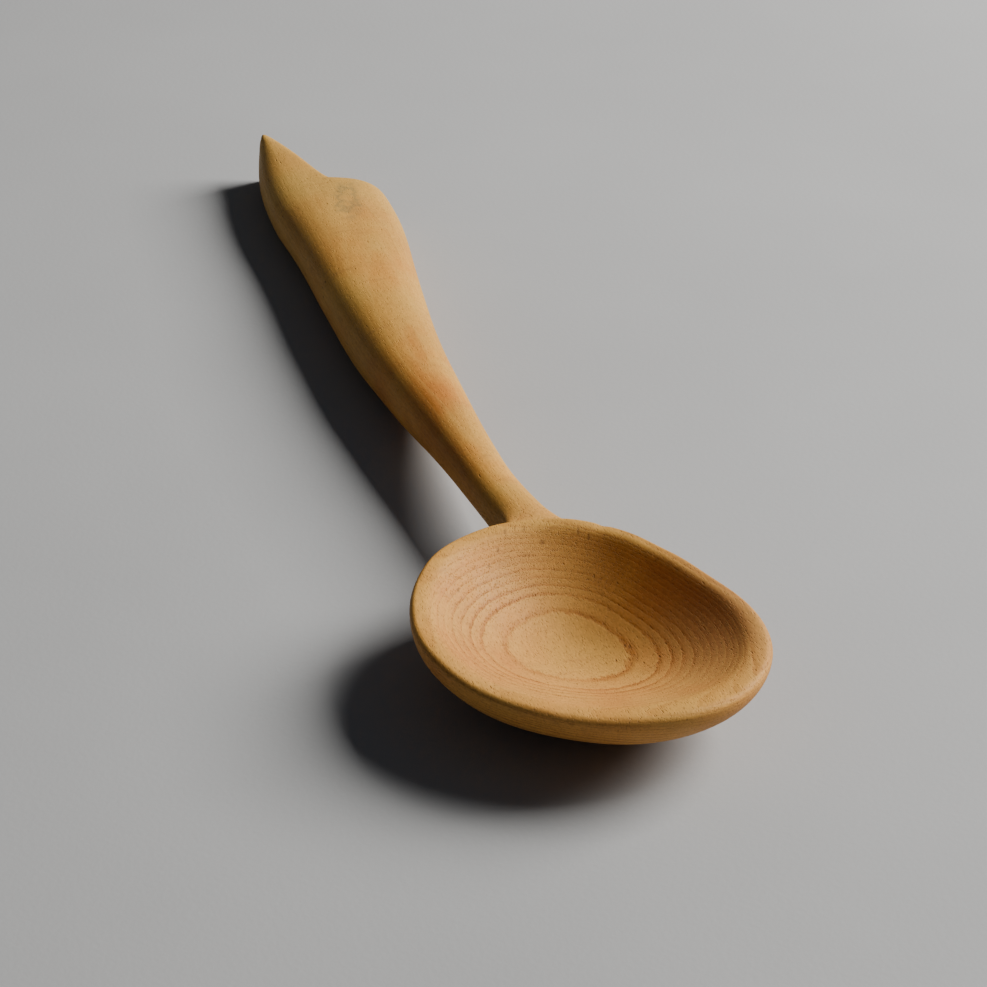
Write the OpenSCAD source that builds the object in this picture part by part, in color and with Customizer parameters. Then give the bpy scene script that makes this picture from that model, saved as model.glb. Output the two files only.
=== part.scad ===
// Carved wooden serving spoon, cut from one board: an egg-shaped bowl turned to one side, a thin neck,
// and a thick rounded handle that widens to a fishtail with one long point.
// X is across the spoon, Y runs along the handle toward its point, Z is up.
// The spoon lies as on a table. Z = 0 is the table, and the origin is under the middle of the whole spoon.
// Inside the formulas, x and y are measured from the middle of the bowl's rim.

/* [Bowl] */
// Length of the rim along the bowl's own long axis
bowl_length = 68; // [56:1:84]
// Width of the rim across that axis
bowl_width = 54; // [44:1:66]
// Angle between the bowl's long axis and the handle
bowl_turn = 24; // [0:1:40]
// How far the swell that makes the rim an egg stands out
egg_swell = 1.2; // [0:0.1:2.5]
// Angle between the egg's pointed nose and the bowl's long axis
nose_turn = 25; // [0:1:60]
// Height of the rim over the table
rim_height = 17; // [14:0.5:24]
// Thickness of the wood under the deepest point
floor_thickness = 5.6; // [3:0.5:7]
// Width of the lip, from the outer edge to where the hollow begins
lip_width = 3.8; // [2.6:0.2:5]
// Radius of the lip's outer edge
lip_edge = 1.2; // [0.6:0.1:2]
// Diameter of the flat that the bowl stands on
base_flat = 18; // [12:1:28]
// How far the deepest point lies from the middle of the rim, toward the handle
deep_shift = 8.5; // [0:0.5:12]
// How far the deepest point lies to the right of the middle of the rim
deep_side = 1.5; // [-3:0.5:4]

/* [Neck] */
// Distance from the rim to the face where the bowl's piece ends and the handle's begins
root_length = 12; // [9:0.5:20]
// Distance from that face to the thinnest place of the neck
waist_run = 16; // [8:1:30]
// Width of the neck at its thinnest place
waist_width = 10; // [6:0.1:12]
// Thickness of the neck at its thinnest place
waist_thickness = 9.2; // [6:0.1:11]
// How far the top of the neck lies below the rim
waist_drop = 2; // [1:0.5:4]
// Width of the neck where it leaves the rim
root_width = 11.4; // [6:0.1:12]
// Thickness of the neck where it leaves the rim
root_thickness = 9; // [6:0.1:11]
// Sideways place of the neck's middle line where it leaves the rim
root_side = 3.8; // [-4:0.1:6]
// Sideways place of the middle line at the thinnest place
waist_side = 1.2; // [-4:0.1:6]

/* [Handle] */
// Distance from the thinnest place of the neck to the full grip
grip_run = 58; // [40:1:80]
// Width of the grip there
grip_width = 18; // [13:0.5:24]
// Thickness of the grip there
grip_thickness = 14.4; // [11:0.2:18]
// Height of the top of the grip over the table
grip_top = 15.3; // [13:0.1:19]
// Sideways place of the grip's middle line
grip_side = 1.3; // [-5:0.1:5]
// Distance from the full grip to the tail's blunt corner
tail_run = 65; // [40:1:80]
// Width of the tail at the blunt corner
tail_width = 26.4; // [18:0.2:30]
// Height of the top of the tail over the table
tail_top = 13.6; // [11:0.1:17]
// Sideways place of the tail's middle line at the blunt corner
tail_side = 6; // [-5:0.1:8]

/* [Fishtail] */
// Distance from the blunt corner back to the notch
notch_run = 8.5; // [6:0.5:14]
// How far the notch is cut in from the side of the blunt corner
notch_depth = 9.5; // [5:0.5:12]
// Distance from the notch to the tip of the long point
point_run = 30; // [18:1:40]
// Height of the tip over the table
tip_height = 12.2; // [9:0.1:16]
// Thickness of the tip's upright edge
tip_thickness = 1.4; // [1:0.1:3]
// Sideways place of the tip
tip_side = -0.7; // [-6:0.1:4]

/* [Hidden] */
wood = [0.80, 0.64, 0.40];

// Rim outline: a circle with a two-lobed term that makes it oval and a three-lobed one for the egg
long_axis = bowl_turn - 90;
nose_axis = long_axis + nose_turn;
mean_radius = (bowl_length + bowl_width) / 4;
oval_swell = (bowl_length - bowl_width) / 4;
function rim_radius(a) =
    mean_radius + oval_swell * cos(2 * (a - long_axis)) + egg_swell * cos(3 * (a - nose_axis));

// Bowl's half section at the mean radius: [radius, height] from the flat base, over the lip, to the middle
lip_end = 145;
lip_roll = (lip_width - lip_edge) / -cos(lip_end);
outer_rows = 14;
lip_rows = 6;
inner_rows = 11;
outer_bulge = 1.75;
outer_lift = 1.1;
lip_top_z = rim_height - lip_edge;
outer_wall = [for (i = [0:outer_rows])
    let (a = 90 * i / outer_rows)
    [base_flat / 2 + (mean_radius - base_flat / 2) * pow(sin(a), outer_bulge),
        lip_top_z * pow(1 - cos(a), outer_lift)]];
lip_arc = [for (i = [1:lip_rows])
    let (a = lip_end * i / lip_rows)
    [mean_radius - lip_edge + (a < 90 ? lip_edge : lip_roll) * cos(a), lip_top_z + lip_edge * sin(a)]];
inner_edge = lip_arc[lip_rows - 1];
inner_power = 1.9;
inner_wall = [for (i = [1:inner_rows - 1])
    let (s = 1 - i / inner_rows)
    [inner_edge[0] * s, floor_thickness + (inner_edge[1] - floor_thickness) * pow(s, inner_power)]];
section = concat(outer_wall, lip_arc, inner_wall);

// One ring of the bowl: the rim's outline scaled about a middle that slides toward the deepest point
columns = 120;
step = 360 / columns;
function ring_point(i, p) =
    let (a = i * step, s = p[0] / mean_radius)
    [s * rim_radius(a) * cos(a) + (1 - s) * deep_side,
        s * rim_radius(a) * sin(a) + (1 - s) * deep_shift,
        p[1]];
rows = len(section);

// Places along Y, from the middle of the rim
neck_angle = acos(root_side / mean_radius);
rim_y = rim_radius(neck_angle) * sin(neck_angle);
root_y = rim_y + root_length;
waist_y = root_y + waist_run;
grip_y = waist_y + grip_run;
corner_y = grip_y + tail_run;
notch_y = corner_y + notch_run;
tip_y = notch_y + point_run;

// Stations of the neck and handle: [y, middle line's x, width, top, thickness]
// The width at the tip only keeps the tail from narrowing before the blunt corner
waist_top = rim_height - waist_drop;
stations = [
    [rim_y, root_side, root_width, waist_top, root_thickness],
    [waist_y, waist_side, waist_width, waist_top, waist_thickness],
    [grip_y, grip_side, grip_width, grip_top, grip_thickness],
    [corner_y, tail_side, tail_width, tail_top, tail_top],
    [tip_y, tip_side, tail_width, tip_height, tip_height]];

// Smooth curve through the stations' column c: a cubic in each span, with the mean slope at each station
last_station = len(stations) - 1;
function slope(k, c) =
    let (lo = max(0, k - 1), hi = min(last_station, k + 1))
    (stations[hi][c] - stations[lo][c]) / (stations[hi][0] - stations[lo][0]);
function span_of(y, k = 0) = (k >= last_station - 1 || y <= stations[k + 1][0]) ? k : span_of(y, k + 1);
function along(y, c) =
    let (
        k = span_of(y),
        run = stations[k + 1][0] - stations[k][0],
        t = (y - stations[k][0]) / run)
    (1 + 2 * t) * pow(1 - t, 2) * stations[k][c] + t * pow(1 - t, 2) * run * slope(k, c)
    + t * t * (3 - 2 * t) * stations[k + 1][c] - t * t * (1 - t) * run * slope(k + 1, c);

// Plan of the handle: its left and right edges, with the fishtail past the blunt corner
corner_left = tail_side - tail_width / 2;
corner_right = tail_side + tail_width / 2;
notch_x = corner_right - notch_depth;
tip_left = tip_side - tip_thickness / 2;
tip_right = tip_side + tip_thickness / 2;
notch_hook = 0.2;
corner_power = 4.5;
function left_edge(y) =
    y <= corner_y ? along(y, 1) - along(y, 2) / 2
    : corner_left + (tip_left - corner_left) * pow((y - corner_y) / (tip_y - corner_y), 2);
function right_edge(y) =
    y <= corner_y ? along(y, 1) + along(y, 2) / 2
    : y <= notch_y ? notch_x + notch_depth * sqrt(1 - pow((y - corner_y) / notch_run, corner_power))
    : let (v = max(0, (tip_y - y) / point_run))
    tip_right + (notch_x - tip_right) * ((1 - notch_hook) * sqrt(v) + notch_hook * pow(v, 8));

// Outline of the neck or handle at y: an ellipse that fills out toward the tail, planed flat on the table
neck_fullness = 2.1;
tail_fullness = 2.6;
flat_cut = 0.4;
function share(y, first, last) = min(1, max(0, (y - first) / (last - first)));
function swell(v, n) = sign(v) * pow(abs(v), 2 / n);
function outline(y) =
    let (
        n = neck_fullness + (tail_fullness - neck_fullness) * share(y, waist_y, corner_y),
        crest = along(y, 1),
        left = crest - left_edge(y),
        right = right_edge(y) - crest,
        top = along(y, 3),
        bottom = top - along(y, 4) - flat_cut * share(y, waist_y, grip_y))
    [for (a = patch_angles)
        [crest + (cos(a) < 0 ? left : right) * swell(cos(a), n), y,
        max(0, (top + bottom) / 2 + (top - bottom) / 2 * swell(sin(a), n))]];

// The neck grows out of a patch of the outer wall, whose border is a loop of [column, row]
neck_column = round(neck_angle / step);
patch_half = 4;
first_column = neck_column - patch_half;
last_column = neck_column + patch_half;
first_row = 9;
last_row = outer_rows;
patch_loop = concat(
    [for (i = [last_column:-1:first_column + 1]) [i, last_row]],
    [for (j = [last_row:-1:first_row + 1]) [first_column, j]],
    [for (i = [first_column:last_column - 1]) [i, first_row]],
    [for (j = [first_row:last_row - 1]) [last_column, j]]);
around = len(patch_loop);
patch_border = [for (c = patch_loop) ring_point(c[0], section[c[1]])];
patch_low = [for (k = [0, 2]) min([for (p = patch_border) p[k]])];
patch_high = [for (k = [0, 2]) max([for (p = patch_border) p[k]])];
patch_angles = [for (p = patch_border)
    atan2((2 * p[2] - patch_low[1] - patch_high[1]) / (patch_high[1] - patch_low[1]),
        (2 * p[0] - patch_low[0] - patch_high[0]) / (patch_high[0] - patch_low[0]))];

// Fillet rings from the wall to the face of the root: each point leaves the wall and eases into the neck
fillet_rows = 6;
fillet_ease = 2.6;
function fillet_ring(f) = [for (k = [0:around - 1])
    let (
        b = patch_border[k],
        y = b[1] + (root_y - b[1]) * f,
        s = outline(max(rim_y, y))[k],
        g = pow(1 - f, fillet_ease))
    [s[0] + (b[0] - s[0]) * g, y, s[2] + (b[2] - s[2]) * g]];

// Two triangles for each cell between two rows of n points, where a and b are the rows' first numbers
function cells(a, b, n) = [for (i = [0:n - 1])
    let (j = (i + 1) % n)
    each [[a + i, b + i, b + j], [a + i, b + j, a + j]]];

// Bowl: rings of the section, the middle of the inside, and the fillet rings of the neck's root
bowl_grid = [for (p = section) each [for (i = [0:columns - 1]) ring_point(i, p)]];
bowl_points = concat(
    bowl_grid,
    [[deep_side, deep_shift, floor_thickness]],
    [for (r = [1:fillet_rows]) each fillet_ring(r / fillet_rows)]);
last_ring = (rows - 1) * columns;
middle_point = rows * columns;
fillet_first = middle_point + 1;
function in_patch(i, j) = i >= first_column && i < last_column && j >= first_row && j < last_row;
border_numbers = [for (c = patch_loop) c[1] * columns + c[0]];
bowl_faces = concat(
    [[for (i = [0:columns - 1]) i]],
    [for (j = [0:rows - 2], i = [0:columns - 1])
        if (!in_patch(i, j))
            let (a = j * columns, b = a + columns, k = (i + 1) % columns)
            each [[a + i, b + i, b + k], [a + i, b + k, a + k]]],
    [for (i = [0:columns - 1])
        [last_ring + i, middle_point, last_ring + (i + 1) % columns]],
    [for (k = [0:around - 1])
        let (m = (k + 1) % around)
        each [[border_numbers[k], fillet_first + k, fillet_first + m],
            [border_numbers[k], fillet_first + m, border_numbers[m]]]],
    [for (r = [0:fillet_rows - 2])
        each cells(fillet_first + r * around, fillet_first + (r + 1) * around, around)],
    [[for (k = [around - 1:-1:0]) fillet_first + (fillet_rows - 1) * around + k]]);

// Handle: outlines from the face of the root to the tip
body_rows = 30;
corner_rows = 8;
point_rows = 12;
handle_y = concat(
    [for (i = [0:body_rows]) root_y + (corner_y - root_y) * i / body_rows],
    [for (i = [1:corner_rows]) corner_y + notch_run * sin(90 * i / corner_rows)],
    [for (i = [1:point_rows]) notch_y + point_run * sin(90 * i / point_rows)]);
handle_points = [for (y = handle_y) each outline(y)];
handle_rows = len(handle_y);
handle_faces = concat(
    [[for (k = [0:around - 1]) k]],
    [for (r = [0:handle_rows - 2]) each cells(r * around, (r + 1) * around, around)],
    [[for (k = [around - 1:-1:0]) (handle_rows - 1) * around + k]]);

// Middle of the whole spoon, which is put over the origin
all_x = concat([for (p = bowl_points) p[0]], [for (p = handle_points) p[0]]);
middle_x = (min(all_x) + max(all_x)) / 2;
middle_y = (min([for (p = bowl_points) p[1]]) + tip_y) / 2;

// Bowl with the root of the neck
module bowl() {
    color(wood)
    translate([-middle_x, -middle_y, 0])
        polyhedron(points = bowl_points, faces = bowl_faces, convexity = 6);
}

// Neck, grip and fishtail
module handle() {
    color(wood)
    translate([-middle_x, -middle_y, 0])
        polyhedron(points = handle_points, faces = handle_faces, convexity = 4);
}

bowl();
handle();
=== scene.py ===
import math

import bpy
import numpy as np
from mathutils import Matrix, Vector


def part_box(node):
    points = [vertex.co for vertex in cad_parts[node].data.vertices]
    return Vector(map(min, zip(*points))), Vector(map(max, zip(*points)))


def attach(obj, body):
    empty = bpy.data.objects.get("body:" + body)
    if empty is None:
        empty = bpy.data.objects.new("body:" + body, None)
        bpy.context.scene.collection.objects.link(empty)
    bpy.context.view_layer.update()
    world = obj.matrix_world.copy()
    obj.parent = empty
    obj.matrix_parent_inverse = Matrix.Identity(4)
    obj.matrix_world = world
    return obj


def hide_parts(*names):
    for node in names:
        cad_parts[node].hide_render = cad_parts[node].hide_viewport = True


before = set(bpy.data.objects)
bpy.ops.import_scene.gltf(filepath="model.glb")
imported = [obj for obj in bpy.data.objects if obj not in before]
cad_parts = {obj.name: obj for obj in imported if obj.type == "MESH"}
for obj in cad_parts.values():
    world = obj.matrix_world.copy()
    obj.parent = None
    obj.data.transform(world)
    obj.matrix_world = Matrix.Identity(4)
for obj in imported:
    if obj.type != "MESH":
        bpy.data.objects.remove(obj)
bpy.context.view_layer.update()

# Looks of a carved wooden spoon. The spoon is one seamless mesh, built here from the same outlines as its
# CAD solids but much finer, with the board's growth rings, pores and the carver's marks in it.
# Shapes are worked out in millimetres and turned into metres when the mesh is made.

MM = 0.001

# ---------------------------------------------------------------- sizes, in millimetres

RIM_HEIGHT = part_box("bowl")[1][2] / MM
HANDLE_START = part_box("handle")[0][1] / MM

# Rim of the bowl: an oval turned from the handle's line, with a three-lobed swell that makes it an egg
BOWL_LENGTH, BOWL_WIDTH = 68.0, 54.0
BOWL_TURN, NOSE_TURN = math.radians(24), math.radians(25)
EGG_SWELL = 1.2
FLOOR_THICKNESS = 5.6
LIP_WIDTH, LIP_EDGE = 3.8, 1.2
BASE_FLAT = 18.0
DEEP_SIDE, DEEP_SHIFT = 1.5, 8.5
OUTER_BULGE, OUTER_LIFT, INNER_POWER = 1.75, 1.1, 1.9
LIP_END = math.radians(145)

# Handle: runs from station to station along Y
ROOT_LENGTH, WAIST_RUN, GRIP_RUN, TAIL_RUN, NOTCH_RUN, POINT_RUN = 12.0, 16.0, 58.0, 65.0, 8.5, 30.0
ROOT_SIDE, WAIST_SIDE, GRIP_SIDE, TAIL_SIDE, TIP_SIDE = 3.8, 1.2, 1.3, 6.0, -0.7
ROOT_WIDTH, WAIST_WIDTH, GRIP_WIDTH, TAIL_WIDTH = 11.4, 10.0, 18.0, 26.4
WAIST_DROP = 2.0
GRIP_TOP, TAIL_TOP, TIP_HEIGHT = 15.3, 13.6, 12.2
ROOT_THICKNESS, WAIST_THICKNESS, GRIP_THICKNESS = 9.0, 9.2, 14.4
NOTCH_DEPTH, NOTCH_HOOK, CORNER_POWER = 9.5, 0.2, 4.5
TIP_THICKNESS = 1.4
NECK_FULLNESS, TAIL_FULLNESS = 2.1, 2.6
FILLET_FADE = 2.6
FLAT_CUT = 0.4

# Wear at the tail's point: how far back the rounding of its end and of its top and bottom begins
TIP_NOSE, TIP_TOP_NOSE = 1.6, 1.3
LAST_GAP = 0.01

# Fineness of the mesh
COLUMNS = 360
OUTER_ROWS, LIP_ROWS, INNER_ROWS, BASE_ROWS = 42, 14, 84, 10
PATCH_HALF, PATCH_ROW, PATCH_STEP = 12, 27, 3
FILLET_ROWS, BODY_ROWS, CORNER_ROWS, POINT_ROWS = 30, 250, 26, 60

# ---------------------------------------------------------------- the bowl's rings

MEAN_RADIUS = (BOWL_LENGTH + BOWL_WIDTH) / 4
OVAL_SWELL = (BOWL_LENGTH - BOWL_WIDTH) / 4
LONG_AXIS = BOWL_TURN - math.pi / 2
NOSE_AXIS = LONG_AXIS + NOSE_TURN


def rim_radius(a):
    """Distance from the middle of the rim to its outer edge, in direction a."""
    oval = OVAL_SWELL * np.cos(2 * (a - LONG_AXIS))
    egg = EGG_SWELL * np.cos(3 * (a - NOSE_AXIS))
    return MEAN_RADIUS + oval + egg


def bowl_section():
    """Half section at the mean radius: [radius, height] from the flat base, over the lip, to the middle."""
    top = RIM_HEIGHT - LIP_EDGE
    roll = (LIP_WIDTH - LIP_EDGE) / -math.cos(LIP_END)
    a = np.linspace(0, math.pi / 2, OUTER_ROWS + 1)
    outer = np.stack([
        BASE_FLAT / 2 + (MEAN_RADIUS - BASE_FLAT / 2) * np.sin(a) ** OUTER_BULGE,
        top * (1 - np.cos(a)) ** OUTER_LIFT], 1)
    a = np.linspace(0, LIP_END, LIP_ROWS + 1)[1:]
    arc = np.stack([
        MEAN_RADIUS - LIP_EDGE + np.where(np.cos(a) > 0, LIP_EDGE, roll) * np.cos(a),
        top + LIP_EDGE * np.sin(a)], 1)
    s = np.linspace(1, 0, INNER_ROWS + 1)[1:-1]
    inner = np.stack([
        arc[-1, 0] * s,
        FLOOR_THICKNESS + (arc[-1, 1] - FLOOR_THICKNESS) * s ** INNER_POWER], 1)
    base_radius = BASE_FLAT / 2 * np.linspace(0, 1, BASE_ROWS + 1)[1:-1]
    base = np.stack([base_radius, np.zeros(BASE_ROWS - 1)], 1)
    return np.concatenate([base, outer, arc, inner])


SECTION = bowl_section()
FIRST_OUTER = BASE_ROWS - 1
ANGLES = np.arange(COLUMNS) * 2 * math.pi / COLUMNS


def ring(radius, height):
    """One ring of the bowl: the rim's outline, scaled about a middle that slides to the deepest point."""
    s = radius / MEAN_RADIUS
    r = s * rim_radius(ANGLES)
    return np.stack([
        r * np.cos(ANGLES) + (1 - s) * DEEP_SIDE,
        r * np.sin(ANGLES) + (1 - s) * DEEP_SHIFT,
        np.full(COLUMNS, height)], 1)


# ---------------------------------------------------------------- the handle's outlines

NECK_ANGLE = math.acos(ROOT_SIDE / MEAN_RADIUS)
RIM_Y = float(rim_radius(NECK_ANGLE)) * math.sin(NECK_ANGLE)
ROOT_Y = RIM_Y + ROOT_LENGTH
WAIST_Y = ROOT_Y + WAIST_RUN
GRIP_Y = WAIST_Y + GRIP_RUN
CORNER_Y = GRIP_Y + TAIL_RUN
NOTCH_Y = CORNER_Y + NOTCH_RUN
TIP_Y = NOTCH_Y + POINT_RUN
WAIST_TOP = RIM_HEIGHT - WAIST_DROP

# [y, middle line's x, width, top, thickness]
STATIONS = np.array([
    [RIM_Y, ROOT_SIDE, ROOT_WIDTH, WAIST_TOP, ROOT_THICKNESS],
    [WAIST_Y, WAIST_SIDE, WAIST_WIDTH, WAIST_TOP, WAIST_THICKNESS],
    [GRIP_Y, GRIP_SIDE, GRIP_WIDTH, GRIP_TOP, GRIP_THICKNESS],
    [CORNER_Y, TAIL_SIDE, TAIL_WIDTH, TAIL_TOP, TAIL_TOP],
    [TIP_Y, TIP_SIDE, TAIL_WIDTH, TIP_HEIGHT, TIP_HEIGHT]])


def along(y):
    """Middle line's x, width, top and thickness at y: a cubic in each span between stations."""
    last = len(STATIONS) - 1
    k = int(np.clip(np.searchsorted(STATIONS[:, 0], y) - 1, 0, last - 1))

    def slope(j):
        """Slope at station j: the mean slope from the station before it to the one after."""
        lo, hi = STATIONS[max(0, j - 1)], STATIONS[min(last, j + 1)]
        return (hi - lo) / (hi[0] - lo[0])

    run = STATIONS[k + 1, 0] - STATIONS[k, 0]
    t = (y - STATIONS[k, 0]) / run
    row = ((1 + 2 * t) * (1 - t) ** 2 * STATIONS[k] + t * (1 - t) ** 2 * run * slope(k)
           + t * t * (3 - 2 * t) * STATIONS[k + 1] - t * t * (1 - t) * run * slope(k + 1))
    return row[1:]


def edges(y):
    """Left and right edge of the handle at y, with the fishtail past the blunt corner."""
    middle, width = along(y)[:2]
    if y <= CORNER_Y:
        return middle - width / 2, middle + width / 2
    corner_left, corner_right = TAIL_SIDE - TAIL_WIDTH / 2, TAIL_SIDE + TAIL_WIDTH / 2
    tip_left, tip_right = TIP_SIDE - TIP_THICKNESS / 2, TIP_SIDE + TIP_THICKNESS / 2
    notch = corner_right - NOTCH_DEPTH
    left = corner_left + (tip_left - corner_left) * ((y - CORNER_Y) / (TIP_Y - CORNER_Y)) ** 2
    if y <= NOTCH_Y:
        return left, notch + NOTCH_DEPTH * math.sqrt(1 - ((y - CORNER_Y) / NOTCH_RUN) ** CORNER_POWER)
    v = max(0.0, (TIP_Y - y) / POINT_RUN)
    reach = (1 - NOTCH_HOOK) * math.sqrt(v) + NOTCH_HOOK * v ** 8
    return left, tip_right + (notch - tip_right) * reach


def share(y, first, last):
    """How far y has come from first to last, from 0 to 1."""
    return min(1.0, max(0.0, (y - first) / (last - first)))


def outline(y, directions):
    """Closed outline at y: an ellipse that fills out toward the tail, planed flat on the table."""
    n = NECK_FULLNESS + (TAIL_FULLNESS - NECK_FULLNESS) * share(y, WAIST_Y, CORNER_Y)
    middle, _, top, thickness = along(y)
    left, right = edges(y)
    bottom = top - thickness - FLAT_CUT * share(y, WAIST_Y, GRIP_Y)
    c, s = np.cos(directions), np.sin(directions)
    half = np.where(c < 0, middle - left, right - middle)
    x = middle + half * np.sign(c) * np.abs(c) ** (2 / n)
    z = (top + bottom) / 2 + (top - bottom) / 2 * np.sign(s) * np.abs(s) ** (2 / n)
    return np.stack([x, np.full(len(x), y), np.maximum(0, z)], 1)


def worn_tip(cells, from_tip):
    """Rounds the sharp end of the tail's point, across and at the top and bottom."""
    cells = cells.copy()
    low, high = cells.min(0), cells.max(0)
    middle = (low + high) / 2
    if from_tip < TIP_NOSE:
        width = high[0] - low[0]
        allowed = 2 * math.sqrt(TIP_NOSE ** 2 - (TIP_NOSE - from_tip) ** 2)
        factor = (width ** -4 + allowed ** -4) ** -0.25 / width
        cells[:, 0] = middle[0] + (cells[:, 0] - middle[0]) * factor
    if from_tip < TIP_TOP_NOSE:
        drop = TIP_TOP_NOSE * (1 - math.sqrt(1 - (1 - from_tip / TIP_TOP_NOSE) ** 2))
        factor = 1 - 2 * drop / (high[2] - low[2])
        cells[:, 2] = middle[2] + (cells[:, 2] - middle[2]) * factor
    return cells


# ---------------------------------------------------------------- one closed mesh of both

def build_points():
    """All points, in millimetres from the middle of the rim, and all faces of the spoon."""
    points, faces = [], []
    grid = [ring(r, h) for r, h in SECTION]
    points += grid
    rows = len(grid)

    # The patch of the outer wall that the neck grows out of, as a border loop of [row, column]
    column = round(NECK_ANGLE / (2 * math.pi / COLUMNS) / PATCH_STEP) * PATCH_STEP
    c0, c1 = column - PATCH_HALF, column + PATCH_HALF
    r0, r1 = FIRST_OUTER + PATCH_ROW, FIRST_OUTER + OUTER_ROWS
    loop = ([(r1, c) for c in range(c1, c0, -1)] + [(r, c0) for r in range(r1, r0, -1)]
            + [(r0, c) for c in range(c0, c1)] + [(r, c1) for r in range(r0, r1)])
    around = len(loop)

    for r in range(rows - 1):
        for c in range(COLUMNS):
            if r0 <= r < r1 and c0 <= c < c1:
                continue
            d = (c + 1) % COLUMNS
            faces.append((r * COLUMNS + c, r * COLUMNS + d, (r + 1) * COLUMNS + d, (r + 1) * COLUMNS + c))

    # The middle of the inside and of the flat base
    inside = rows * COLUMNS
    points.append(np.array([[DEEP_SIDE, DEEP_SHIFT, FLOOR_THICKNESS], [DEEP_SIDE, DEEP_SHIFT, 0.0]]))
    for c in range(COLUMNS):
        d = (c + 1) % COLUMNS
        faces.append(((rows - 1) * COLUMNS + c, (rows - 1) * COLUMNS + d, inside))
        faces.append((d, c, inside + 1))

    # Rings of the neck and handle: the fillet first, then the outlines to the tip
    border = np.array([grid[r][c] for r, c in loop])
    low, high = border.min(0), border.max(0)
    spread = (2 * border - low - high) / (high - low)
    directions = np.arctan2(spread[:, 2], spread[:, 0])
    previous = [r * COLUMNS + c for r, c in loop]
    count = inside + 2

    tube = []
    for i in range(1, FILLET_ROWS + 1):
        f = i / FILLET_ROWS
        y = border[:, 1] + (ROOT_Y - border[:, 1]) * f
        target = np.array([outline(max(RIM_Y, v), directions)[k] for k, v in enumerate(y)])
        g = (1 - f) ** FILLET_FADE
        tube.append(np.stack([
            target[:, 0] + (border[:, 0] - target[:, 0]) * g, y,
            target[:, 2] + (border[:, 2] - target[:, 2]) * g], 1))
    ys = [ROOT_Y + (CORNER_Y - ROOT_Y) * i / BODY_ROWS for i in range(1, BODY_ROWS + 1)]
    for start, run, rows in ((CORNER_Y, NOTCH_RUN, CORNER_ROWS), (NOTCH_Y, POINT_RUN, POINT_ROWS)):
        ys += [start + run * math.sin(math.pi / 2 * i / rows) for i in range(1, rows + 1)]
    ys[-1] = TIP_Y - LAST_GAP
    tube += [worn_tip(outline(y, directions), TIP_Y - y) for y in ys]

    for cells in tube:
        points.append(cells)
        for k in range(around):
            m = (k + 1) % around
            faces.append((previous[k], previous[m], count + m, count + k))
        previous = list(range(count, count + around))
        count += around
    faces.append(tuple(previous))
    return np.concatenate(points), faces


def relax(points, faces, weight, rounds):
    """Evens out points toward their neighbours' mean, as far as each one's weight says."""
    pairs = np.array([(f[i], f[(i + 1) % len(f)]) for f in faces if len(f) < 5 for i in range(len(f))])
    a = np.concatenate([pairs[:, 0], pairs[:, 1]])
    b = np.concatenate([pairs[:, 1], pairs[:, 0]])
    degree = np.maximum(1, np.bincount(a, minlength=len(points)))[:, None]
    for _ in range(rounds):
        mean = np.stack([np.bincount(a, points[b, i], len(points)) for i in range(3)], 1) / degree
        points = points + (mean - points) * weight[:, None]
    return points


def bump_at(p, centre, size):
    """1 at the centre, falling smoothly to 0 a few sizes away."""
    return np.exp(-(((p - np.array(centre)) / np.array(size)) ** 2).sum(1))


points, faces = build_points()

# The fillet of the neck's root, the notch and the foot of the lip are worn smooth
ROOT_PLACE, ROOT_SPAN, ROOT_WEAR = (ROOT_SIDE, RIM_Y - 1, 9.5), (11, 8, 9), 1.6
NOTCH_PLACE, NOTCH_SPAN = (TAIL_SIDE + TAIL_WIDTH / 2 - NOTCH_DEPTH, NOTCH_Y, 8), (3, 3, 12)
CARVED_WEIGHT, CARVED_ROUNDS = 0.6, 16
LIP_WEIGHT, LIP_ROUNDS, ROWS_BEFORE_FOOT, ROWS_AFTER_FOOT = 0.5, 14, 5, 9

near_root = np.clip(ROOT_WEAR * bump_at(points, ROOT_PLACE, ROOT_SPAN), 0, 1)
near_notch = bump_at(points, NOTCH_PLACE, NOTCH_SPAN)
points = relax(points, faces, CARVED_WEIGHT * np.clip(near_root + near_notch, 0, 1), CARVED_ROUNDS)
lip_foot = np.zeros(len(points))
foot_row = FIRST_OUTER + OUTER_ROWS + LIP_ROWS
lip_foot[(foot_row - ROWS_BEFORE_FOOT) * COLUMNS:(foot_row + ROWS_AFTER_FOOT) * COLUMNS] = LIP_WEIGHT
points = relax(points, faces, lip_foot, LIP_ROUNDS)

# Move from the middle of the rim to the frame's origin
outer = ring(MEAN_RADIUS, RIM_HEIGHT)
middle_x = (outer[:, 0].min() + outer[:, 0].max()) / 2
middle_y = (outer[:, 1].min() + TIP_Y) / 2
points = points - [middle_x, middle_y, 0]
DEEP = np.array([DEEP_SIDE - middle_x, DEEP_SHIFT - middle_y, FLOOR_THICKNESS])
WALL = SECTION[FIRST_OUTER + OUTER_ROWS:][::-1]


def on_wall(bearing, inset):
    """A place on the lip or the inner wall, by its bearing in degrees and its distance in from the rim."""
    a = math.radians(bearing)
    reach = float(rim_radius(a))
    s = 1 - inset / reach
    height = float(np.interp(s * MEAN_RADIUS, WALL[:, 0], WALL[:, 1]))
    return (
        s * reach * math.cos(a) + (1 - s) * DEEP_SIDE - middle_x,
        s * reach * math.sin(a) + (1 - s) * DEEP_SHIFT - middle_y,
        height)


# ---------------------------------------------------------------- the board: growth rings and marks

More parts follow.
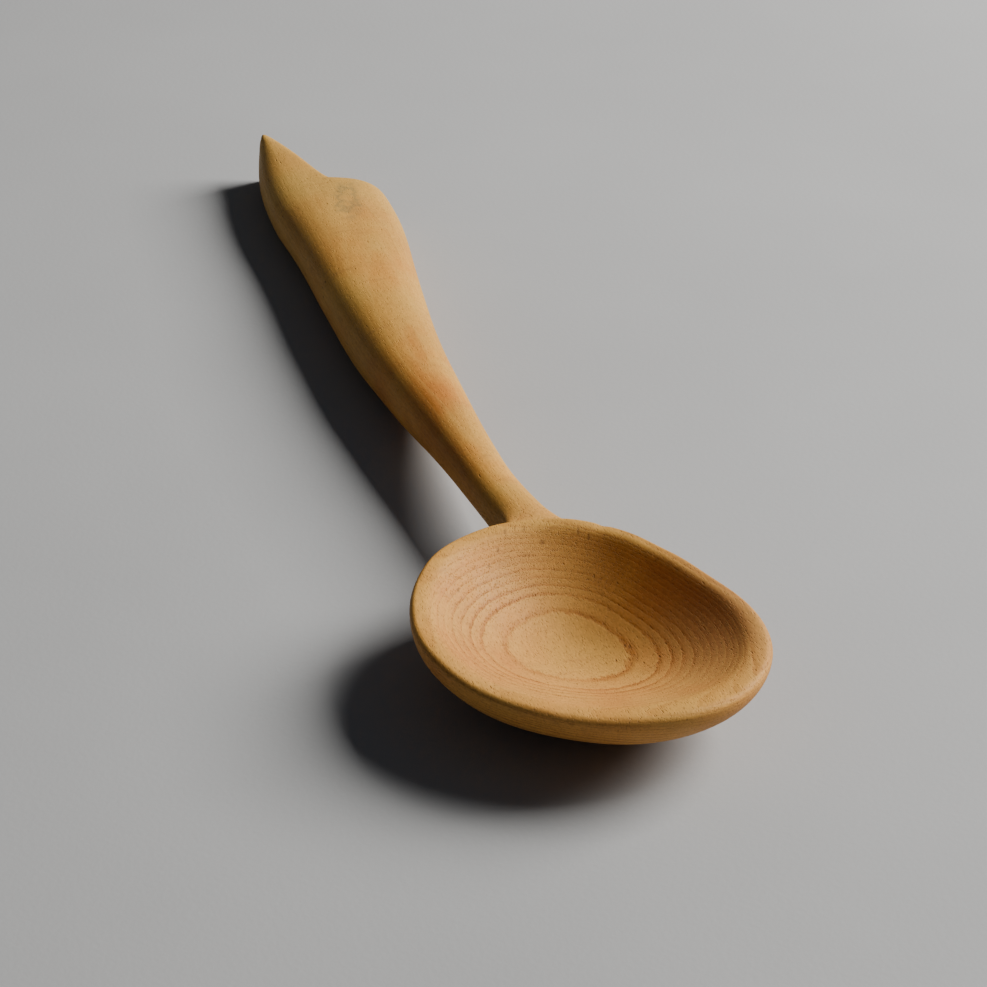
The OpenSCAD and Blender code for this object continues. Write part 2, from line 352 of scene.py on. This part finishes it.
# Depths of the growth rings through the board: two wide ones at the bowl's floor, and narrow ones elsewhere
RING_DEPTHS = np.array([
    -6.0, -5.0, -3.9, -3.0, -2.0, -1.1, -0.1, 0.8, 1.8, 2.7, 3.6, 4.4, 5.1,
    7.35, 9.05, 9.95, 10.85, 11.75, 12.65, 13.4, 14.2, 15.0, 15.8, 16.5, 17.1, 17.65,
    18.5, 19.1, 19.7, 20.6, 21.4, 22.3, 23.1, 24.0])
RING_TILT_X, RING_TILT_Y = 0.08, 0.03
TILT_FADE = 60.0

# Share of a ring that is early wood, and the most that it may be in millimetres
EARLY_SHARE, EARLY_MOST = 0.30, 0.42

# Depth of the knife's hollows and of the groove worn along a ring's early wood
KNIFE_DEPTH, GROOVE_DEPTH = 0.8, 0.035

# The rim's dip: its depth, how narrow it is, and how far round it lies
DIP_DEPTH, DIP_NARROWNESS, DIP_BEARING = 1.0, 3, -2.0

# How far before the handle's face the bowl's looks fade into the handle's, and the rim's waves end
BOWL_FADE, RIM_END = 10, 8


def warp(p):
    """How far the growth rings wander from flat layers: slow waves, stretched along the grain."""
    x, y = p[:, 0], p[:, 1]
    return (0.20 * np.sin(x / 13 + 0.7) * np.cos(y / 37 + 1.3)
            + 0.16 * np.sin(y / 19 + x / 11 + 0.4)
            + 0.09 * np.sin(x / 4.3 + y / 17 + 2.1)
            + 0.06 * np.sin(y / 6.1 - x / 7.7)
            + 0.03 * np.sin(x / 1.7 + y / 5.3 + 0.9))


def layer_depth(p):
    """Depth through the board of each point: layers tilt across the bowl and a little along the handle."""
    offset = p - DEEP
    tilt = RING_TILT_X * offset[:, 0] + RING_TILT_Y * TILT_FADE * np.tanh(offset[:, 1] / TILT_FADE)
    return p[:, 2] + tilt + warp(p) - warp(DEEP[None])[0]


def vertex_normals(points, faces):
    """Unit normal at each point, from the faces around it; a triangle is a quad with one corner twice."""
    normal = np.zeros_like(points)
    quads = np.array([f if len(f) == 4 else (*f, f[2]) for f in faces if len(f) < 5])
    a, b, c, d = (points[quads[:, i]] for i in range(4))
    is_triangle = (quads[:, 2] == quads[:, 3])[:, None]
    n = np.where(is_triangle, np.cross(b - a, c - a), np.cross(c - a, d - b))
    for i in range(4):
        np.add.at(normal, quads[:, i], n)
    return normal / np.maximum(1e-9, np.linalg.norm(normal, axis=1))[:, None]


def smooth_step(v, low, high):
    """0 below low, 1 above high, and a smooth curve between."""
    t = np.clip((v - low) / (high - low), 0, 1)
    return t * t * (3 - 2 * t)


normals = vertex_normals(points, faces)
layer = layer_depth(points)
ring_count = np.interp(layer, RING_DEPTHS, np.arange(len(RING_DEPTHS)))
ring_number = np.clip(ring_count.astype(int), 0, len(RING_DEPTHS) - 2)
ring_gap = np.diff(RING_DEPTHS)[ring_number]

# In a wide ring the early wood's share is smaller, so that it stays thin
early_end = np.minimum(EARLY_SHARE, EARLY_MOST / ring_gap)
ring_place = ring_count - ring_number
ring_place = np.where(
    ring_place < early_end, ring_place / early_end * EARLY_SHARE,
    EARLY_SHARE + (ring_place - early_end) / (1 - early_end) * (1 - EARLY_SHARE))
ring_count = ring_number + np.clip(ring_place, 0, 0.9999)

# Soft hollows left by the knife, everywhere but on the flats that meet the table
x, y, z = points.T
knife = (0.10 * np.sin(x / 3.9 + 1.1) * np.sin(y / 7.3 + 0.3) * np.sin(z / 4.1 + 0.8)
         + 0.09 * np.sin(x / 6.7 + y / 9.1 + 2.0) + 0.06 * np.sin(y / 4.7 - x / 5.3 + z / 3.7))
off_table = smooth_step(z, 0.3, 2.5)

# The soft early wood of each ring is worn a little lower, where a ring shows wide on the surface
surface_gap = ring_gap / np.maximum(0.05, np.sqrt(np.maximum(0, 1 - normals[:, 2] ** 2)))
in_bowl = 1 - smooth_step(points[:, 1], HANDLE_START - BOWL_FADE, HANDLE_START)
wide = smooth_step(surface_gap, 1.8, 3.6) * off_table * (0.2 + 0.8 * in_bowl)
groove = np.where(
    ring_place < EARLY_SHARE,
    np.cos(ring_place / EARLY_SHARE * math.pi / 2) ** 2,
    smooth_step(ring_place, 0.93, 1.0))
carved = KNIFE_DEPTH * knife * off_table - GROOVE_DEPTH * groove * wide
points = points + normals * carved[:, None]

# The rim isn't quite level or even: it dips at the front and left of the bowl
bearing = np.arctan2(points[:, 1] - DEEP[1], points[:, 0] - DEEP[0])
on_rim = smooth_step(points[:, 2], RIM_HEIGHT - 5, RIM_HEIGHT - 0.5)
on_rim = on_rim * (points[:, 1] < HANDLE_START - RIM_END)
rim_wave = (0.16 * np.sin(3 * bearing + 0.6)
            + 0.12 * np.sin(5 * bearing + 2.2)
            + 0.07 * np.sin(11 * bearing))
rim_dip = DIP_DEPTH * np.exp(DIP_NARROWNESS * (np.cos(bearing - DIP_BEARING) - 1))
points[:, 2] += on_rim * (rim_wave - rim_dip)

# Small dents on the lip and the tail: place, size and depth
DENTS = [
    (on_wall(-62, 1.5), (1.6, 0.8, 1.5), 0.28),
    (on_wall(166, 2), (1.2, 1.6, 1.5), 0.20),
    (on_wall(-115, 0.5), (1.5, 1.1, 1.5), 0.16),
    (on_wall(64, 1), (1.3, 0.9, 1.5), 0.22),
    ((11, 76, 13.5), (1.1, 2.6, 2.0), 0.14),
]
for centre, size, depth in DENTS:
    points -= normals * (depth * bump_at(points, centre, size))[:, None]


def make_spoon():
    """The spoon's object, with each point's ring count and whether it is in the bowl for its material."""
    mesh = bpy.data.meshes.new("spoon")
    mesh.from_pydata((points * MM).tolist(), [], [tuple(int(i) for i in f) for f in faces])
    mesh.update()
    mesh.polygons.foreach_set("use_smooth", [True] * len(mesh.polygons))
    for name, values in (("layer", ring_count), ("in_bowl", in_bowl)):
        attribute = mesh.attributes.new(name, "FLOAT", "POINT")
        attribute.data.foreach_set("value", values)
    spoon = bpy.data.objects.new("spoon", mesh)
    bpy.context.scene.collection.objects.link(spoon)
    return spoon


# ---------------------------------------------------------------- materials

class Nodes:
    """Short way to add and join a material's nodes."""

    def __init__(self, name):
        self.material = bpy.data.materials.new(name)
        self.material.use_nodes = True
        self.tree = self.material.node_tree
        self.tree.nodes.clear()

    def add(self, kind, inputs=None, **settings):
        node = self.tree.nodes.new(kind)
        for key, value in settings.items():
            setattr(node, key, value)
        for key, value in (inputs or {}).items():
            if isinstance(value, bpy.types.NodeSocket):
                self.tree.links.new(value, node.inputs[key])
            else:
                node.inputs[key].default_value = value
        return node

    def math(self, operation, a, b=0.0, clamp=False):
        return self.add("ShaderNodeMath", {0: a, 1: b}, operation=operation, use_clamp=clamp).outputs[0]

    def times(self, a, b, clamp=False):
        return self.math("MULTIPLY", a, b, clamp)

    def plus(self, a, b):
        return self.math("ADD", a, b)

    def scaled(self, vector, scale):
        return self.add("ShaderNodeMapping", {"Vector": vector, "Scale": scale}).outputs[0]

    def noise(self, vector, scale, detail=2.0, roughness=0.5):
        node = self.add("ShaderNodeTexNoise", {
            "Vector": vector, "Scale": scale, "Detail": detail, "Roughness": roughness})
        return node.outputs["Fac"]

    def distance(self, place, centre, half, turn=0.0):
        """How far a place is from a centre, where 1 is the surface of an ellipsoid turned about Z."""
        offset = self.add("ShaderNodeVectorMath", {0: place, 1: centre}, operation="SUBTRACT").outputs[0]
        if turn:
            offset = self.add("ShaderNodeMapping", {"Vector": offset, "Rotation": (0, 0, turn)}).outputs[0]
        span = self.scaled(offset, tuple(1 / h for h in half))
        return self.add("ShaderNodeVectorMath", {0: span}, operation="LENGTH").outputs["Value"]

    def around(self, place, centre, half, core, most=1.0):
        """The most in the core of an ellipsoid, falling to 0 at its surface."""
        return self.spread(self.distance(place, centre, half), 1.0, core, 0.0, most)

    def ramp(self, value, stops):
        """Colours or greys that follow a value, as (value, colour or grey) stops."""
        node = self.add("ShaderNodeValToRGB", {"Fac": value})
        ramp = node.color_ramp
        while len(ramp.elements) > 1:
            ramp.elements.remove(ramp.elements[-1])
        for i, (place, colour) in enumerate(stops):
            if i == 0:
                element = ramp.elements[0]
                element.position = place
            else:
                element = ramp.elements.new(place)
            grey = isinstance(colour, float)
            element.color = (colour, colour, colour, 1) if grey else (*colour, 1)
        return node.outputs["Color"]

    def spread(self, value, low, high, to_low=0.0, to_high=1.0):
        """Takes low to high onto to_low to to_high, and holds at the ends."""
        node = self.add("ShaderNodeMapRange", {
            "Value": value, "From Min": low, "From Max": high, "To Min": to_low, "To Max": to_high})
        return node.outputs["Result"]

    def mix(self, factor, a, b, blend="MIX"):
        node = self.add("ShaderNodeMix", data_type="RGBA", blend_type=blend)
        for socket, value in ((node.inputs[0], factor), (node.inputs[6], a), (node.inputs[7], b)):
            if isinstance(value, bpy.types.NodeSocket):
                self.tree.links.new(value, socket)
            elif isinstance(value, tuple):
                socket.default_value = (*value, 1)
            else:
                socket.default_value = value
        return node.outputs[2]


# Wood colours, linear: the broad clouds from dark to light, then what is laid over them; the wall's brown
# among them is painted shade
BROWN, TAN, BLOND = (0.485, 0.180, 0.033), (0.585, 0.254, 0.046), (0.640, 0.325, 0.066)
PATCH_YELLOW, TAIL_YELLOW = (0.530, 0.308, 0.066), (0.520, 0.312, 0.078)
BOWL_RED, FLOOR_GOLD, LIP_GOLD = (0.592, 0.268, 0.074), (0.505, 0.282, 0.062), (0.580, 0.305, 0.058)
PAINTED_SHADE_BROWN = (0.345, 0.146, 0.058)
LATE_WOOD, EARLY_WOOD = (0.610, 0.335, 0.080), (0.370, 0.128, 0.024)
CURL_BROWN = (0.400, 0.185, 0.048)
PORE_BROWN, TORN_BROWN = (0.180, 0.070, 0.018), (0.150, 0.058, 0.016)
KNOT_GREY, FLECK_BLACK = (0.205, 0.160, 0.070), (0.120, 0.055, 0.020)

# Places of marks, as an ellipsoid's centre and half sizes: where the gouge tore the grain, where it cut the
# wall's pores open, where shade is painted onto the bowl's right inner wall, and where the bowl's floor is
# more golden
TORN_AT, TORN_HALF = (10.0, -98.5, 8.0), (9.0, 13.0, 5.0)
OPEN_AT, OPEN_HALF = (4.0, -71.0, 12.5), (24.0, 13.0, 8.0)
SHADED_WALL_AT, SHADED_WALL_HALF = (24.0, -101.0, 13.0), (17.0, 26.0, 14.0)
GOLDEN_AT, GOLDEN_HALF = (0.5, -92.0, 6.0), (16.0, 17.0, 7.0)

# Small sound knot in the tail
KNOT, KNOT_HALF, KNOT_TURN = (8.0, 84.5, 13.5), (4.0, 12.0, 10.0), math.radians(13)

# Dark flecks where vessels are torn open on the lip and the wall
FLECK_TURN = math.radians(20)
FLECKS = [
    (on_wall(98, 4), (0.30, 1.0, 0.8)),
    (on_wall(94, 3.5), (0.25, 0.8, 0.8)),
    (on_wall(91, 4), (0.30, 1.1, 0.8)),
    (on_wall(86, 7), (0.60, 0.8, 0.5)),
    (on_wall(104, 7), (0.35, 0.7, 0.5)),
    (on_wall(112, 9), (0.35, 0.6, 0.4)),
    (on_wall(72, 4.5), (0.30, 1.2, 0.8)),
    (on_wall(68, 5), (0.30, 1.1, 0.8)),
    (on_wall(-62, 1.5), (0.28, 1.0, 0.9)),
    (on_wall(-64, 2), (0.22, 0.8, 0.9)),
    (on_wall(-78, 1.5), (0.25, 0.8, 0.9)),
    (on_wall(135, 8), (0.40, 0.6, 0.5)),
]

# The wood's grain: cells or waves per millimetre, and how each is stretched along X, Y and Z
PORE_SCALE, PORE_STRETCH = 4.2, (1, 0.22, 1)
VESSEL_SCALE, VESSEL_STRETCH = 1.9, (1, 0.26, 1)
FIBRE_SCALE, FIBRE_STRETCH = 3.2, (1, 0.05, 1)
SPECK_SCALE, SPECK_STRETCH = 2.6, (1, 0.45, 1)
CURL_SCALE, CURL_STRETCH = 0.85, (0.16, 1, 0.3)
CLOUD_SCALE, CLOUD_STRETCH = 0.085, (1, 0.45, 1)
GRAIN_STRETCH = (1, 0.10, 1)


def growth_rings(m, place, in_bowl):
    """Early and late wood, from how far each point is through its own ring. Strength differs by ring."""
    depth = m.add("ShaderNodeAttribute", attribute_name="layer").outputs["Fac"]
    ragged = m.spread(m.noise(m.scaled(place, GRAIN_STRETCH), 1.3, 4, 0.7), 0.3, 0.7, -0.09, 0.09)
    through = m.plus(depth, ragged)
    number = m.math("FLOOR", through)
    within = m.math("FRACT", through)

    # Faint on the handle, fainter up the bowl's wall, and bold in the two wide rings at the bowl's floor
    drawn = m.add("ShaderNodeTexWhiteNoise", {"W": number}, noise_dimensions="1D").outputs["Value"]
    strength = m.spread(drawn, 0.0, 1.0, 0.45, 1.0)
    strength = m.times(strength, m.spread(in_bowl, 0.0, 1.0, 0.40, 1.0))
    strength = m.times(strength, m.spread(depth, 15.0, 18.5, 1.0, 0.50))
    bold = m.times(m.spread(depth, 14.6, 15.2, 1.0, 0.0), m.spread(depth, 12.4, 12.8, 0.0, 1.0))
    strength = m.math("MAXIMUM", strength, m.times(bold, in_bowl))
    uneven = m.spread(m.noise(place, 0.11), 0.40, 0.60, 0.50, 1.12)

    early = m.ramp(within, [
        (0.0, 0.80), (0.05, 1.0), (0.16, 0.80), (0.30, 0.25), (0.50, 0.04), (0.93, 0.0), (1.0, 0.80)])
    late = m.ramp(within, [(0.0, 0.0), (0.55, 0.0), (0.92, 1.0), (0.97, 0.3), (1.0, 0.0)])
    return m.times(early, m.times(strength, uneven), clamp=True), late


def cells(m, place, stretch, scale):
    """Long cells along the grain: the distance from each one's middle, and a colour drawn for each."""
    node = m.add("ShaderNodeTexVoronoi", {
        "Vector": m.scaled(place, stretch), "Scale": scale, "Randomness": 1.0}, feature="F1")
    drawn = m.add("ShaderNodeSeparateColor", {"Color": node.outputs["Color"]})
    return node.outputs["Distance"], drawn


def fine_pores(m, place, early, in_bowl):
    """Fine tubes along the grain, crowded in the early wood, and how dark they are."""
    open_wall = m.around(place, OPEN_AT, OPEN_HALF, 0.35)
    distance, drawn = cells(m, place, PORE_STRETCH, PORE_SCALE)
    crowded = m.plus(m.spread(early, 0.0, 0.8, 0.22, 0.95), m.times(in_bowl, 0.14))
    crowded = m.plus(crowded, m.times(open_wall, 0.34))
    is_open = m.math("LESS_THAN", drawn.outputs[0], crowded)
    darkness = m.plus(m.spread(early, 0.0, 0.7, 0.14, 0.40), m.times(in_bowl, 0.18))
    darkness = m.plus(darkness, m.times(open_wall, 0.20))
    return m.times(m.spread(distance, 0.42, 0.18), is_open, clamp=True), darkness


def torn_vessels(m, place, early):
    """A few torn vessels in the early wood, coarser than the pores, and how dark they are."""
    torn_here = m.around(place, TORN_AT, TORN_HALF, 0.55)
    distance, drawn = cells(m, place, VESSEL_STRETCH, VESSEL_SCALE)
    torn_grain = m.times(torn_here, m.spread(early, 0.2, 0.7, 0.0, 0.35))
    likely = m.plus(m.spread(early, 0.35, 0.9, 0.02, 0.62), torn_grain)
    is_torn = m.math("LESS_THAN", drawn.outputs[1], likely)
    darkness = m.spread(torn_here, 0.0, 1.0, 0.50, 0.78)
    return m.times(m.spread(distance, 0.36, 0.14), is_torn, clamp=True), darkness


def ground_colour(m, place, in_bowl):
    """The wood's colour without rings: broad clouds, the tints of the tail, the bowl and its lip, and
    painted shade on the bowl's right inner wall.
    """
    cloud = m.noise(m.scaled(place, CLOUD_STRETCH), CLOUD_SCALE, 3, 0.55)
    patch = m.noise(place, 0.05)
    along_spoon = m.add("ShaderNodeSeparateXYZ", {0: place}).outputs[1]
    height = m.add("ShaderNodeSeparateXYZ", {0: place}).outputs[2]

    tone = m.ramp(cloud, [(0.34, BROWN), (0.50, TAN), (0.66, BLOND)])
    tone = m.mix(m.spread(patch, 0.44, 0.60, 0.0, 0.55), tone, PATCH_YELLOW)
    tone = m.mix(m.spread(along_spoon, 30.0, 90.0, 0.0, 0.62), tone, TAIL_YELLOW)
    tone = m.mix(m.times(in_bowl, 0.45), tone, BOWL_RED)
    tone = m.mix(m.around(place, GOLDEN_AT, GOLDEN_HALF, 0.3, 0.50), tone, FLOOR_GOLD)
    tone = m.mix(m.times(m.spread(height, 15.2, 16.6, 0.0, 0.55), in_bowl), tone, LIP_GOLD)
    # Painted shade: the bowl's right inner wall, which faces away from the light, is darkened with a deeper
    # brown
    painted_wall_shade = m.around(place, SHADED_WALL_AT, SHADED_WALL_HALF, 0.25, 0.62)
    return m.mix(m.times(painted_wall_shade, in_bowl), tone, PAINTED_SHADE_BROWN)


def knot_and_flecks(m, place, tone):
    """The knot in the tail and the dark flecks of the lip, laid over a colour."""
    knot_span = m.distance(place, KNOT, KNOT_HALF, KNOT_TURN)
    knot_span = m.plus(knot_span, m.spread(m.noise(place, 0.45, 3), 0.3, 0.7, -0.26, 0.26))
    knot = m.ramp(knot_span, [(0.0, 0.22), (0.26, 0.36), (0.48, 0.95), (0.68, 0.30), (1.0, 0.0)])
    tone = m.mix(m.times(knot, 0.58), tone, KNOT_GREY)

    ragged = m.spread(m.noise(place, 2.2), 0.3, 0.7, -0.3, 0.3)
    flecks = None
    for centre, half in FLECKS:
        span = m.plus(m.distance(place, centre, half, FLECK_TURN), ragged)
        fleck = m.spread(span, 1.0, 0.45)
        flecks = fleck if flecks is None else m.math("MAXIMUM", flecks, fleck)
    return m.mix(m.times(flecks, 0.46), tone, FLECK_BLACK)


def wood_material():
    """Oiled ring-porous wood: growth rings through the board's thickness, pores and fibres along Y."""
    m = Nodes("oiled_wood")
    place = m.scaled(m.add("ShaderNodeTexCoord").outputs["Object"], (1 / MM, 1 / MM, 1 / MM))
    in_bowl = m.add("ShaderNodeAttribute", attribute_name="in_bowl").outputs["Fac"]
    early, late = growth_rings(m, place, in_bowl)
    pore, pore_darkness = fine_pores(m, place, early, in_bowl)
    vessel, vessel_darkness = torn_vessels(m, place, early)
    fibre = m.noise(m.scaled(place, FIBRE_STRETCH), FIBRE_SCALE, 4, 0.65)

    tone = ground_colour(m, place, in_bowl)
    tone = m.mix(m.times(late, 0.25), tone, LATE_WOOD)
    tone = m.mix(m.times(early, 0.72), tone, EARLY_WOOD)

    # Cross-grain curl in places, then fibres and specks that lighten and darken
    curl = m.noise(m.scaled(place, CURL_STRETCH), CURL_SCALE, 3, 0.55)
    curl_here = m.spread(m.noise(place, 0.07), 0.45, 0.62)
    tone = m.mix(m.times(curl_here, m.spread(curl, 0.52, 0.68, 0.0, 0.42)), tone, CURL_BROWN)
    speck = m.noise(m.scaled(place, SPECK_STRETCH), SPECK_SCALE, 3, 0.7)
    shade = m.times(m.spread(fibre, 0.25, 0.75, 0.90, 1.10), m.spread(speck, 0.25, 0.75, 0.83, 1.17))
    shade_colour = m.add("ShaderNodeCombineColor", {0: shade, 1: shade, 2: shade}).outputs[0]
    tone = m.mix(1.0, tone, shade_colour, "MULTIPLY")

    tone = m.mix(m.times(pore, pore_darkness), tone, PORE_BROWN)
    tone = m.mix(m.times(vessel, vessel_darkness), tone, TORN_BROWN)
    tone = knot_and_flecks(m, place, tone)

    rough = m.spread(m.noise(m.scaled(place, GRAIN_STRETCH), 0.35, 4, 0.6), 0.3, 0.7, 0.52, 0.66)
    rough = m.plus(rough, m.times(pore, 0.22))

    # Relief, as shares of the bump's depth: pores, vessels and early wood sink, and fibres stand up
    uneven = m.noise(place, 1.6, 3, 0.65)
    relief = m.times(pore, -0.7)
    for part, amount in ((vessel, -1.0), (early, -0.45), (fibre, 0.35), (uneven, 0.55)):
        relief = m.plus(relief, m.times(part, amount))
    bump = m.add("ShaderNodeBump", {"Height": relief, "Strength": 0.75, "Distance": 0.00012})

    shader = m.add("ShaderNodeBsdfPrincipled", {
        "Base Color": tone, "Roughness": rough, "Normal": bump.outputs[0],
        "IOR": 1.47, "Specular IOR Level": 0.18})
    m.add("ShaderNodeOutputMaterial", {"Surface": shader.outputs[0]})
    return m.material


FLOOR_DARK, FLOOR_LIGHT = (0.370, 0.370, 0.368), (0.400, 0.400, 0.398)


def floor_material():
    """Plain pale grey with faint clouds and a fine matt surface."""
    m = Nodes("pale_floor")
    place = m.add("ShaderNodeTexCoord").outputs["Object"]
    tone = m.ramp(m.noise(place, 9.0, 4, 0.6), [(0.3, FLOOR_DARK), (0.7, FLOOR_LIGHT)])
    surface = m.noise(place, 900.0, 3)
    bump = m.add("ShaderNodeBump", {"Height": surface, "Strength": 0.15, "Distance": 0.0002})
    shader = m.add("ShaderNodeBsdfPrincipled", {
        "Base Color": tone, "Roughness": 0.85, "Normal": bump.outputs[0]})
    m.add("ShaderNodeOutputMaterial", {"Surface": shader.outputs[0]})
    return m.material


# ---------------------------------------------------------------- pieces

spoon = make_spoon()
spoon.data.materials.append(wood_material())
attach(spoon, "root")
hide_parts("bowl", "handle")

# ---------------------------------------------------------------- floor, light and camera

FLOOR_SIZE = 12.0
bpy.ops.mesh.primitive_plane_add(size=FLOOR_SIZE, location=(0, 0, 0))
floor = bpy.context.object
floor.name = "floor"
floor.data.materials.append(floor_material())

VIEW_TURN, VIEW_DROP = math.radians(-18), math.radians(31)
VIEW_DISTANCE = 0.567
SENSOR_WIDTH, LENS = 36.0, 109.4
AIM = Vector((0.0024, HANDLE_START * MM + 0.0125, 0.008))


def toward(turn, rise):
    """Unit vector at a bearing from +X and a height angle over the floor."""
    return Vector((math.cos(turn) * math.cos(rise), math.sin(turn) * math.cos(rise), math.sin(rise)))


to_camera = toward(VIEW_TURN - math.pi / 2, VIEW_DROP)
camera_data = bpy.data.cameras.new("camera")
camera_data.sensor_width = SENSOR_WIDTH
camera_data.lens = LENS
camera = bpy.data.objects.new("camera", camera_data)
camera.location = AIM + VIEW_DISTANCE * to_camera
camera.rotation_euler = to_camera.to_track_quat("Z", "Y").to_euler()
bpy.context.scene.collection.objects.link(camera)
bpy.context.scene.camera = camera


def soft_light(name, turn, rise, distance, size, watts, colour):
    """A square soft light, with its bearing from +X and its height over the floor in degrees."""
    data = bpy.data.lights.new(name, "AREA")
    data.size = size
    data.energy = watts
    data.color = colour
    light = bpy.data.objects.new(name, data)
    to_light = toward(math.radians(turn), math.radians(rise))
    light.location = AIM + distance * to_light
    light.rotation_euler = to_light.to_track_quat("Z", "Y").to_euler()
    bpy.context.scene.collection.objects.link(light)


soft_light("key", turn=3, rise=35.5, distance=1.3, size=0.75, watts=42.0, colour=(1.0, 0.985, 0.96))

SKY_COLOUR, SKY_STRENGTH = (0.74, 0.84, 1.0, 1), 0.062
world = bpy.data.worlds.new("studio")
world.use_nodes = True
sky = world.node_tree.nodes["Background"]
sky.inputs["Color"].default_value = SKY_COLOUR
sky.inputs["Strength"].default_value = SKY_STRENGTH
bpy.context.scene.world = world
